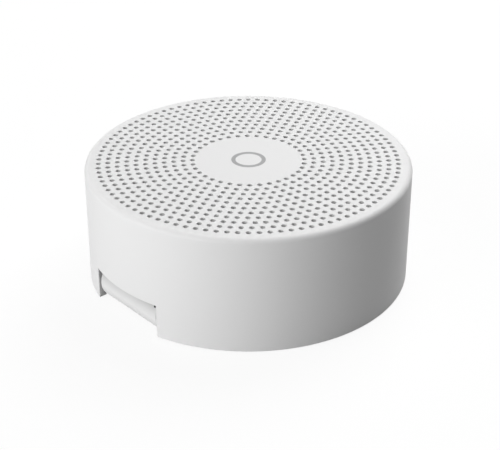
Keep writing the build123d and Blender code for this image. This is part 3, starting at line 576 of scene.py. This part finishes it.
# Paints the shade band and the shaded dimple dot into the barrel's tone.
darkened(tree, shader, surface, ((painted_shade_band, PAINTED_SHADE_TONE), (painted_dimple_shade, PAINTED_DIMPLE_SHADE)))
frame["nodes"]["plug_barrel"].material_slots[0].material = FINISHES["barrel_plastic"]
band_degrees = [round(math.degrees(turn)) for turn in (BAND_START, BAND_END)]
print("band on the barrel between", band_degrees, "degrees from its front")

# %% [markdown]
# ## The grille shell
# The grille and the wall are one moulding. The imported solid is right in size, but its edges are razor
# sharp, and light on a real moulding always catches a small radius. Cutting 726 holes with booleans
# would leave ragged faces. Instead the flat top is drawn as points: one circle for its edge and one for
# each hole. A Delaunay triangulation fills the space between them, and triangles whose three corners
# lie on one hole are dropped. Rings of points then carry the hole rims, the rounded top edge and the
# walls down, so the skin is one closed mesh. The holes narrow a little on their way down, as the pins
# that mould them do, or the shell would not come off its tool. The top of the notch rises a little from
# the wall's face inwards, so that it clears the barrel.

# %% Skin collector
SHARP_ANGLE = math.radians(50)
# Of the triangulation's kinds of result, this one covers the whole hull of the points.
WHOLE_HULL = 0
WELD_DISTANCE = 1e-9


class Skin:
    """Collects the points and faces of one closed mesh."""

    def __init__(self):
        self.points = []
        self.faces = []

    def ring(self, points):
        """Adds points and returns their numbers."""
        start = len(self.points)
        self.points.extend(points)
        return list(range(start, len(self.points)))

    def bridge(self, first, second, closed=True):
        """Joins two rings of as many points with quads."""
        count = len(first)
        for i in range(count if closed else count - 1):
            j = (i + 1) % count
            self.faces.append((first[i], first[j], second[j], second[i]))

    def stack(self, rows):
        """Joins rings one after another."""
        for first, second in zip(rows, rows[1:]):
            self.bridge(first, second)

    def loop(self, rows):
        """Joins rings one after another and the last one to the first."""
        self.stack(rows + rows[:1])

    def column(self, rows):
        """Joins rings one after another and closes both ends with a fan to their middle."""
        self.stack(rows)
        for row in (rows[0], rows[-1]):
            corners = [Vector(self.points[number]) for number in row]
            (middle,) = self.ring([tuple(sum(corners, Vector()) / len(corners))])
            self.faces.extend((a, b, middle) for a, b in zip(row, row[1:] + row[:1]))

    def plate(self, outline, holes):
        """Fills the flat space between an outline and the hole rings in it."""
        rings = [outline, *holes]
        numbers = [number for ring in rings for number in ring]
        owner = [k for k, ring in enumerate(rings) for _ in ring]
        flat = [Vector(self.points[number][:2]) for number in numbers]
        edges = []
        start = 0
        for ring in rings:
            edges.extend((start + i, start + (i + 1) % len(ring)) for i in range(len(ring)))
            start += len(ring)
        _, _, filled, *_ = delaunay_2d_cdt(flat, edges, [], WHOLE_HULL, WELD_DISTANCE)
        for corners in filled:
            owners = {owner[c] for c in corners}
            if len(owners) > 1 or owners == {0}:
                self.faces.append(tuple(numbers[c] for c in corners))

    def piece(self, name, finish):
        """Makes the object, with outward normals and smooth shading below a sharp angle."""
        mesh = bpy.data.meshes.new(name)
        mesh.from_pydata(self.points, [], self.faces)
        work = bmesh.new()
        work.from_mesh(mesh)
        bmesh.ops.recalc_face_normals(work, faces=work.faces)
        work.to_mesh(mesh)
        work.free()
        mesh.shade_smooth()
        mesh.set_sharp_from_angle(angle=SHARP_ANGLE)
        mesh.materials.append(FINISHES[finish])
        made = bpy.data.objects.new(name, mesh)
        scene.collection.objects.link(made)
        open_edges = sum(1 for count in edge_uses(mesh).values() if count != 2)
        print(name, len(mesh.vertices), "points,", len(mesh.polygons), "faces,", open_edges, "open edges")
        return made


def edge_uses(mesh):
    """How many faces use each edge."""
    uses = {}
    for face in mesh.polygons:
        for key in face.edge_keys:
            uses[key] = uses.get(key, 0) + 1
    return uses


print("skin collector ready, with edges sharp from", round(math.degrees(SHARP_ANGLE)), "degrees")

# %% Angles and rings


def full_turn(count):
    """Even angles once round, in radians."""
    return [math.tau * i / count for i in range(count)]


def quarter_turn(steps):
    """Even angles from 0 to a right angle, in radians."""
    return [math.pi / 2 * k / steps for k in range(steps + 1)]


def circle(radius, z, angles, centre=(0, 0)):
    """Points of a circle at the given angles, in radians."""
    x, y = centre
    return [(x + radius * math.cos(a), y + radius * math.sin(a), z) for a in angles]


def swung(profile, angle):
    """Points of a profile of radius and height at an angle round the upright axis."""
    return [(r * math.cos(angle), r * math.sin(angle), z) for r, z in profile]


print("a quarter turn in two steps is", [round(math.degrees(a)) for a in quarter_turn(2)])

# %% Shell sizes, from the frame and the moulding
RING_PITCH = 2.0 * MM
FIRST_RING = 6
LAST_RING = 16
HOLES_PER_STEP = 6
HOLE_RADIUS = 0.5 * MM
HOLE_DRAFT = 0.05 * MM
HOLE_RIM = 0.04 * MM
HOLE_RIM_STEPS = 2
HOLE_SIDES = 16
TOP_EDGE_RADIUS = 1.1 * MM
TOP_EDGE_STEPS = 8
NOTCH_LEFT_GAP = 0.72 * MM
NOTCH_RIGHT_GAP = 0.5 * MM
NOTCH_HEIGHT = 7.37 * MM
NOTCH_RISE = 0.5 * MM
WALL_COLUMNS = 210
NOTCH_COLUMNS = 24
WALL = 1.8 * MM

body_radius = shell_high.x
top_z = shell_high.z
rim_z = shell_low.z
inner_radius = body_radius - WALL
grille_radius = LAST_RING * RING_PITCH + 2 * HOLE_RADIUS
ceiling_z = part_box("dust_mesh")[1].z
notch_left = barrel_low.x - NOTCH_LEFT_GAP
notch_right = barrel_high.x + NOTCH_RIGHT_GAP
notch_top_z = rim_z + NOTCH_HEIGHT


def column_angles(radius):
    """Angles round the wall, with columns on both sides of the notch, which faces -Y."""
    start, end = (math.asin(side / radius) - math.pi / 2 for side in (notch_left, notch_right))
    width = end - start
    across = [start + width * i / NOTCH_COLUMNS for i in range(NOTCH_COLUMNS)]
    around = [end + (math.tau - width) * i / WALL_COLUMNS for i in range(WALL_COLUMNS)]
    return across + around


def hole_centres():
    """Centres of the grille's holes, six more in each ring than in the one inside it."""
    for ring in range(FIRST_RING, LAST_RING + 1):
        for a in full_turn(HOLES_PER_STEP * ring):
            yield (ring * RING_PITCH * math.cos(a), ring * RING_PITCH * math.sin(a))


print(len(list(hole_centres())), "holes,", WALL_COLUMNS + NOTCH_COLUMNS, "columns")

# %% [markdown]
# Seen from the front, a hole shows only a little of its own far side, which sees a narrow patch of sky
# and the dark space behind the grille. A path tracer with white plastic keeps too much light in there,
# so the shell gets a finish of its own: the same plastic, with painted shade, a tone that falls off below
# the grille's face. A mask by height and by distance from the axis is enough to find the inside of the
# holes.
# The cut faces of the notch, which look into the same dark space, are found by where they are too and get
# painted shade as well; only the one that looks back to the low light keeps the plastic's own tone.

# %% Grille finish
# Painted shade inside the holes, as a share of the plastic's tone.
HOLE_PAINTED_SHADE = 0.72
# Painted shade on the notch's cut faces, as a share of the plastic's tone.
NOTCH_PAINTED_SHADE = 0.7
NOTCH_FADE = 0.3 * MM
HOLE_FADE = 0.008 * MM

tree, shader, surface = white_moulding("grille_plastic")
place = node(tree, "ShaderNodeTexCoord").outputs["Object"]
spot = node(tree, "ShaderNodeSeparateXYZ")
join(tree, place, spot.inputs[0])
flattened = node(tree, "ShaderNodeMapping", scale=(1, 1, 0))
join(tree, place, flattened.inputs["Vector"])
from_axis = node(tree, "ShaderNodeVectorMath", operation="LENGTH")
join(tree, flattened.outputs["Vector"], from_axis.inputs[0])
sunk = ramp(tree, spot.outputs["Z"], top_z, top_z - HOLE_FADE)
within = arithmetic(tree, "LESS_THAN", from_axis.outputs["Value"], grille_radius)
hole_shade_mask = arithmetic(tree, "MULTIPLY", sunk, within)
notch_shade_mask = ramp(tree, from_axis.outputs["Value"], body_radius, body_radius - NOTCH_FADE)
for side in (
    arithmetic(tree, "LESS_THAN", spot.outputs["Z"], notch_top_z + NOTCH_FADE),
    arithmetic(tree, "GREATER_THAN", spot.outputs["X"], notch_left - NOTCH_FADE),
    arithmetic(tree, "LESS_THAN", spot.outputs["X"], notch_right - NOTCH_FADE),
    arithmetic(tree, "LESS_THAN", spot.outputs["Y"], 0.0),
):
    notch_shade_mask = arithmetic(tree, "MULTIPLY", notch_shade_mask, side)
# Paints shade into the holes and onto the notch's cut faces.
darkened(tree, shader, surface, ((hole_shade_mask, HOLE_PAINTED_SHADE), (notch_shade_mask, NOTCH_PAINTED_SHADE)))
print("holes have", HOLE_PAINTED_SHADE, "and the notch", NOTCH_PAINTED_SHADE, "of the plastic's tone")

# %% Shell skin
skin = Skin()
outer_angles = column_angles(body_radius)
inner_angles = column_angles(inner_radius)


def rolled_edge(radius, rounding, side, steps, angles, centre=(0, 0)):
    """Rings from the top face down a rounded edge; side is 1 round the top and -1 round a hole."""
    return [
        skin.ring(
            circle(
                radius - side * rounding * (1 - math.sin(turn)),
                top_z - rounding * (1 - math.cos(turn)),
                angles,
                centre,
            )
        )
        for turn in quarter_turn(steps)
    ]


outer_rows = rolled_edge(body_radius, TOP_EDGE_RADIUS, 1, TOP_EDGE_STEPS, outer_angles)
outer_rows.append(skin.ring(circle(body_radius, notch_top_z, outer_angles)))
outer_rim = skin.ring(circle(body_radius, rim_z, outer_angles[NOTCH_COLUMNS:] + outer_angles[:1]))
inner_levels = (ceiling_z, notch_top_z + NOTCH_RISE)
inner_rows = [skin.ring(circle(inner_radius, z, inner_angles)) for z in inner_levels]
inner_rim = skin.ring(circle(inner_radius, rim_z, inner_angles[NOTCH_COLUMNS:] + inner_angles[:1]))

hole_angles = full_turn(HOLE_SIDES)
top_holes = []
ceiling_holes = []
for centre in hole_centres():
    rows = rolled_edge(HOLE_RADIUS + HOLE_DRAFT, HOLE_RIM, -1, HOLE_RIM_STEPS, hole_angles, centre)
    rows.append(skin.ring(circle(HOLE_RADIUS, ceiling_z, hole_angles, centre)))
    skin.stack(rows)
    top_holes.append(rows[0])
    ceiling_holes.append(rows[-1])
skin.plate(outer_rows[0], top_holes)
skin.plate(inner_rows[0], ceiling_holes)

skin.stack(outer_rows)
skin.stack(inner_rows)
outer_low = outer_rows[-1]
inner_low = inner_rows[-1]
skin.bridge(outer_low[NOTCH_COLUMNS:] + outer_low[:1], outer_rim, closed=False)
skin.bridge(inner_low[NOTCH_COLUMNS:] + inner_low[:1], inner_rim, closed=False)
skin.bridge(outer_rim, inner_rim, closed=False)
skin.bridge(outer_low[: NOTCH_COLUMNS + 1], inner_low[: NOTCH_COLUMNS + 1], closed=False)
for column, end in ((NOTCH_COLUMNS, 0), (0, -1)):
    skin.faces.append((outer_low[column], outer_rim[end], inner_rim[end], inner_low[column]))
shell_skin = skin.piece("shell_skin", "grille_plastic")
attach(shell_skin, "housing")
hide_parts("top_shell")

# %% [markdown]
# The rim and the notch still have sharp edges. They are rounded by a Bevel modifier that only takes
# edges with a bevel weight, because rounding all edges would also take the hundreds of hole rims, which
# are rounded already. A Weighted Normal modifier then lets the flat top stay flat to the light.

# %% Shell edges
EDGE_RADIUS = 0.3 * MM
EDGE_STEPS = 3
NOTCH_SIDE_SHARE = 1.0
RIM_SHARE = 0.5
NOTCH_TOP_SHARE = 0.35
INNER_SHARE = 0.35


def weight_edges(obj, chains):
    """Gives each chain of point numbers a bevel weight along its edges."""
    weights = {}
    for chain, weight in chains:
        for a, b in zip(chain, chain[1:]):
            weights[tuple(sorted((a, b)))] = weight
    layer = obj.data.attributes.new("bevel_weight_edge", "FLOAT", "EDGE")
    for edge in obj.data.edges:
        layer.data[edge.index].value = weights.get(tuple(sorted(edge.vertices)), 0.0)
    return len(weights)


notch_chains = [
    (outer_low[: NOTCH_COLUMNS + 1], NOTCH_TOP_SHARE),
    (inner_low[: NOTCH_COLUMNS + 1], INNER_SHARE),
]
for column, end in ((NOTCH_COLUMNS, 0), (0, -1)):
    notch_chains += [
        ([outer_low[column], outer_rim[end]], NOTCH_SIDE_SHARE),
        ([inner_low[column], inner_rim[end]], INNER_SHARE),
        ([outer_rim[end], inner_rim[end]], RIM_SHARE),
        ([outer_low[column], inner_low[column]], INNER_SHARE),
    ]
rounded = weight_edges(shell_skin, [(outer_rim, RIM_SHARE), (inner_rim, INNER_SHARE), *notch_chains])
bevel = shell_skin.modifiers.new("soft_edges", "BEVEL")
bevel.limit_method = "WEIGHT"
bevel.width = EDGE_RADIUS
bevel.segments = EDGE_STEPS
bevel.use_clamp_overlap = False
shell_skin.modifiers.new("flat_faces", "WEIGHTED_NORMAL").keep_sharp = True
print(rounded, "edges rounded")

# %% [markdown]
# ## Inside the shell
# Two things hang inside the shell and are seen only when it is opened: the ring that holds the speaker,
# with three hooks that snap under its flange, and three bosses for the case screws, each with a web to the
# wall. Both could be cut from primitives with booleans, but rings of points give clean quads. The snap ring
# is one profile that is carried round the axis and pulled inwards where a hook is. A boss is a stack of
# rings, in which the web is only a longer radius at two angles.

# %% Snap ring
SPEAKER_FIT = 0.3 * MM
FLANGE = 0.8 * MM
HOOK_FIT = 0.05 * MM
HOOK_HEIGHT = 1.0 * MM
HOOK_SLOPE = 0.1 * MM
HOOK_REACH = 0.7 * MM
HOOKS = 3
# The hooks' places and widths round the ring are in degrees.
FIRST_HOOK = 30
HOOK_ARC = 24
HOOK_END = 0.3
HOOK_COLUMNS = 12
GAP_COLUMNS = 30
RIB = 0.8 * MM

speaker_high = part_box("speaker_basket")[1]
rib_radius = speaker_high.x + SPEAKER_FIT
rib_z = speaker_high.z - FLANGE - HOOK_FIT - HOOK_HEIGHT


def rib_profile(reach):
    """Radius and height of the ring's section, with a hook of that reach on its inner side."""
    return (
        (rib_radius, ceiling_z),
        (rib_radius, rib_z + HOOK_HEIGHT + HOOK_SLOPE),
        (rib_radius - reach, rib_z + HOOK_HEIGHT),
        (rib_radius - reach, rib_z + HOOK_HEIGHT / 2),
        (rib_radius, rib_z),
        (rib_radius + RIB, rib_z),
        (rib_radius + RIB, ceiling_z),
    )


def hook_columns():
    """Degrees and reach of every column round the ring, with two close columns at each end of a hook."""
    step = 360 / HOOKS
    gap = step - HOOK_ARC - 2 * HOOK_END
    for k in range(HOOKS):
        start = FIRST_HOOK + k * step - HOOK_ARC / 2
        for i in range(HOOK_COLUMNS + 1):
            yield start + HOOK_ARC * i / HOOK_COLUMNS, HOOK_REACH
        for i in range(GAP_COLUMNS + 1):
            yield start + HOOK_ARC + HOOK_END + gap * i / GAP_COLUMNS, 0.0


rib = Skin()
sections = [rib.ring(swung(rib_profile(reach), math.radians(turn))) for turn, reach in hook_columns()]
rib.loop(sections)
snap_ring = rib.piece("snap_ring", "white_plastic")
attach(snap_ring, "housing")

# %% Screw bosses
SCREW_ANGLES = (90, 210, 330)
SCREW_HEAD_RADIUS = 2.0 * MM
SCREW_BITE = 6.0 * MM
BOSS_RADIUS = 2.6 * MM
BOSS_LENGTH = 10.0 * MM
BOSS_WEB = 1.4 * MM
WEB_BITE = 0.45 * MM
PILOT_RADIUS = 1.05 * MM
PILOT_DEPTH = 8.0 * MM
LEAD_IN = 0.2 * MM
BOSS_COLUMNS = 40

screw_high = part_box("case_screws")[1]
screw_circle = screw_high.y - SCREW_HEAD_RADIUS
boss_z = screw_high.z - SCREW_BITE
web_reach = inner_radius + WEB_BITE - screw_circle
web_turn = math.asin(BOSS_WEB / 2 / BOSS_RADIUS)
web_corner = math.atan2(BOSS_WEB / 2, web_reach)
boss_angles = [web_turn + (math.tau - 2 * web_turn) * i / BOSS_COLUMNS for i in range(BOSS_COLUMNS + 1)]
boss_radii = [BOSS_RADIUS for _ in boss_angles]
boss_angles += [-web_corner, web_corner]
boss_radii += 2 * [math.hypot(BOSS_WEB / 2, web_reach)]
pilot_radii = [PILOT_RADIUS for _ in boss_angles]
boss_rows = (
    (boss_z + PILOT_DEPTH, pilot_radii),
    (boss_z + LEAD_IN, pilot_radii),
    (boss_z, [r + LEAD_IN for r in pilot_radii]),
    (boss_z, boss_radii),
    (boss_z + BOSS_LENGTH - LEAD_IN, boss_radii),
    (boss_z + BOSS_LENGTH, [r - LEAD_IN for r in boss_radii]),
)


def boss_ring(turn, z, radii):
    """Points of one ring of the boss that stands at a turn round the axis."""
    x, y = screw_circle * math.cos(turn), screw_circle * math.sin(turn)
    return [
        (x + r * math.cos(turn + a), y + r * math.sin(turn + a), z) for a, r in zip(boss_angles, radii)
    ]


bosses = Skin()
for degrees in SCREW_ANGLES:
    turn = math.radians(degrees)
    bosses.column([bosses.ring(boss_ring(turn, z, radii)) for z, radii in boss_rows])
shell_bosses = bosses.piece("shell_bosses", "white_plastic")
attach(shell_bosses, "housing")

# %% [markdown]
# The cone hangs in a rubber surround, a half roll between the cone's lip and the basket's flange. When the
# cone moves, the inner lip goes with it, the outer lip stays and the roll gives way between them. A rigid
# ring would be cut by the cone; here the roll is one mesh, whose points are swung into one plane, baked in
# place and swung back. The roll is low, so that it stays clear of the dust mesh when the cone comes up.

# %% Cone surround
RUBBER = 0.2 * MM
GLUE = 0.01 * MM
ROLL_HEIGHT = 0.5 * MM
LIP_WIDTH = 0.8 * MM
FLANGE_WIDTH = 2.9 * MM
ROLL_STEPS = 14
SURROUND_COLUMNS = 120

cone_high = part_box("speaker_cone")[1]
flange_radius = speaker_high.x - FLANGE_WIDTH
roll_middle = (cone_high.x + flange_radius) / 2
roll_half = (flange_radius - cone_high.x) / 2
lip_z = cone_high.z + GLUE
sheet = RUBBER - 2 * GLUE


def roll_arc(width, height, foot):
    """Radius and height of points on one side of the roll, half an ellipse above its feet."""
    start = math.asin(foot / height)
    turns = [start + (math.pi - 2 * start) * i / ROLL_STEPS for i in range(ROLL_STEPS + 1)]
    return [(roll_middle + width * math.cos(turn), lip_z + height * math.sin(turn)) for turn in turns]


lip_radius = cone_high.x - LIP_WIDTH
surround_profile = [(speaker_high.x, lip_z), *roll_arc(roll_half, ROLL_HEIGHT - sheet, 0.0)]
surround_profile += [(lip_radius, lip_z), (lip_radius, lip_z + sheet)]
surround_profile += roll_arc(roll_half + sheet, ROLL_HEIGHT, sheet)[::-1]
surround_profile += [(speaker_high.x, lip_z + sheet)]

roll = Skin()
sections = [roll.ring(swung(surround_profile, a)) for a in full_turn(SURROUND_COLUMNS)]
roll.loop(sections)
surround_roll = roll.piece("surround_roll", "surround_rubber")
in_place = [point.co.copy() for point in surround_roll.data.vertices]
for point in surround_roll.data.vertices:
    point.co = (point.co.xy.length, 0, point.co.z)
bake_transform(surround_roll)
for point, place in zip(surround_roll.data.vertices, in_place):
    point.co = place
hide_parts("cone_surround")

# %% [markdown]
# ## The barrel's sleeve
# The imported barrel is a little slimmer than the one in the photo, so it gets a thin sleeve: full round at
# both ends, and in between only on the front, because the contact pads underneath have to stay bare. One
# profile is carried round the hinge axis, and its middle part sinks into the barrel where the front ends.
# A plain tube would be simpler, but it would cover the pads. The barrel has a little play along its pin and
# lies to the right in its notch. So on the right the sleeve reaches past the barrel's end, as the rim of a
# shallow cup that holds the friction washer and hides the gap to the notch. On the left it stops short of
# the end. The sleeve rides on the plug and turns with it.

# %% Barrel sleeve
LEFT_REACH = -0.2 * MM
RIGHT_REACH = 0.43 * MM
SLEEVE_SINK = 0.05 * MM
SLEEVE_EDGE = 0.2 * MM
SLEEVE_EDGE_STEPS = 5
SLEEVE_COLUMNS = 120
RIM_START = 0.4 * MM
CUP_FIT = 0.15 * MM
FRONT_LOW = math.radians(-60)
FRONT_HIGH = math.radians(45)
FRONT_FADE = math.radians(21)

cup_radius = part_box("hinge_washers")[1].z - axis_z + CUP_FIT
rim_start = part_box("barrel_pads")[1].x + RIM_START


def front_radius(turn):
    """Radius of the sleeve between its rims, at a turn from the front upwards."""
    past = max(FRONT_LOW - turn, turn - FRONT_HIGH, 0.0)
    share = max(1 - past / FRONT_FADE, 0.0)
    return barrel_radius - SLEEVE_SINK + (SLEEVE_LIFT + SLEEVE_SINK) * share


def rim_half(reach, side, turn):
    """One half of the sleeve's section, from inside the barrel round its end to the middle."""
    end = barrel_high.x + reach
    seat = min(end, barrel_high.x)
    edge = [
        (end - SLEEVE_EDGE * (1 - math.sin(t)), sleeve_radius - SLEEVE_EDGE * (1 - math.cos(t)))
        for t in reversed(quarter_turn(SLEEVE_EDGE_STEPS))
    ]
    half_section = [
        (seat - SLEEVE_EDGE, barrel_radius - SLEEVE_EDGE),
        (seat - SLEEVE_SINK, cup_radius),
        (end, cup_radius),
        *edge,
        (rim_start + RIM_START, sleeve_radius),
        (rim_start, front_radius(turn)),
    ]
    return [(side * x, r) for x, r in half_section]


def sleeve_section(turn):
    """Place along the axis and radius of the closed section at a turn from the front upwards."""
    return rim_half(LEFT_REACH, -1, turn) + rim_half(RIGHT_REACH, 1, turn)[::-1]


def sleeve_ring(turn):
    """Points of the sleeve's section at a turn from the front upwards."""
    return [
        (x, axis_y - r * math.cos(turn), axis_z + r * math.sin(turn)) for x, r in sleeve_section(turn)
    ]


sleeve = Skin()
sections = [sleeve.ring(sleeve_ring(a - math.pi)) for a in full_turn(SLEEVE_COLUMNS)]
sleeve.loop(sections)
barrel_sleeve = sleeve.piece("barrel_sleeve", "barrel_plastic")
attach(barrel_sleeve, "plug")

# %% [markdown]
# ## The centre mark
# The plain disc in the middle of the grille carries one small grey print. Here it is a plain ring, a
# closed band two hundredths of a millimetre high, because a print needs its own ink colour and a clean
# edge. It could be painted by a mask in the plastic's material, but a band of its own stays sharp
# at any distance.

# %% Centre mark
MARK_OUTER = 3.7 * MM
MARK_STROKE = 0.9 * MM
MARK_HEIGHT = 0.02 * MM
MARK_SINK = 0.01 * MM
MARK_COLUMNS = 96
TONES["mark_ink"] = (0.36, 0.36, 0.365)

moulding("mark_ink", 0.55, mottle=0.15, depth=0.005 * MM)
mark = Skin()
mark_angles = full_turn(MARK_COLUMNS)
mark_rows = [
    mark.ring(circle(radius, top_z + level, mark_angles))
    for radius, level in (
        (MARK_OUTER, -MARK_SINK),
        (MARK_OUTER, MARK_HEIGHT - MARK_SINK),
        (MARK_OUTER - MARK_STROKE, MARK_HEIGHT - MARK_SINK),
        (MARK_OUTER - MARK_STROKE, -MARK_SINK),
    )
]
mark.loop(mark_rows)
centre_mark = mark.piece("centre_mark", "mark_ink")
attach(centre_mark, "housing")
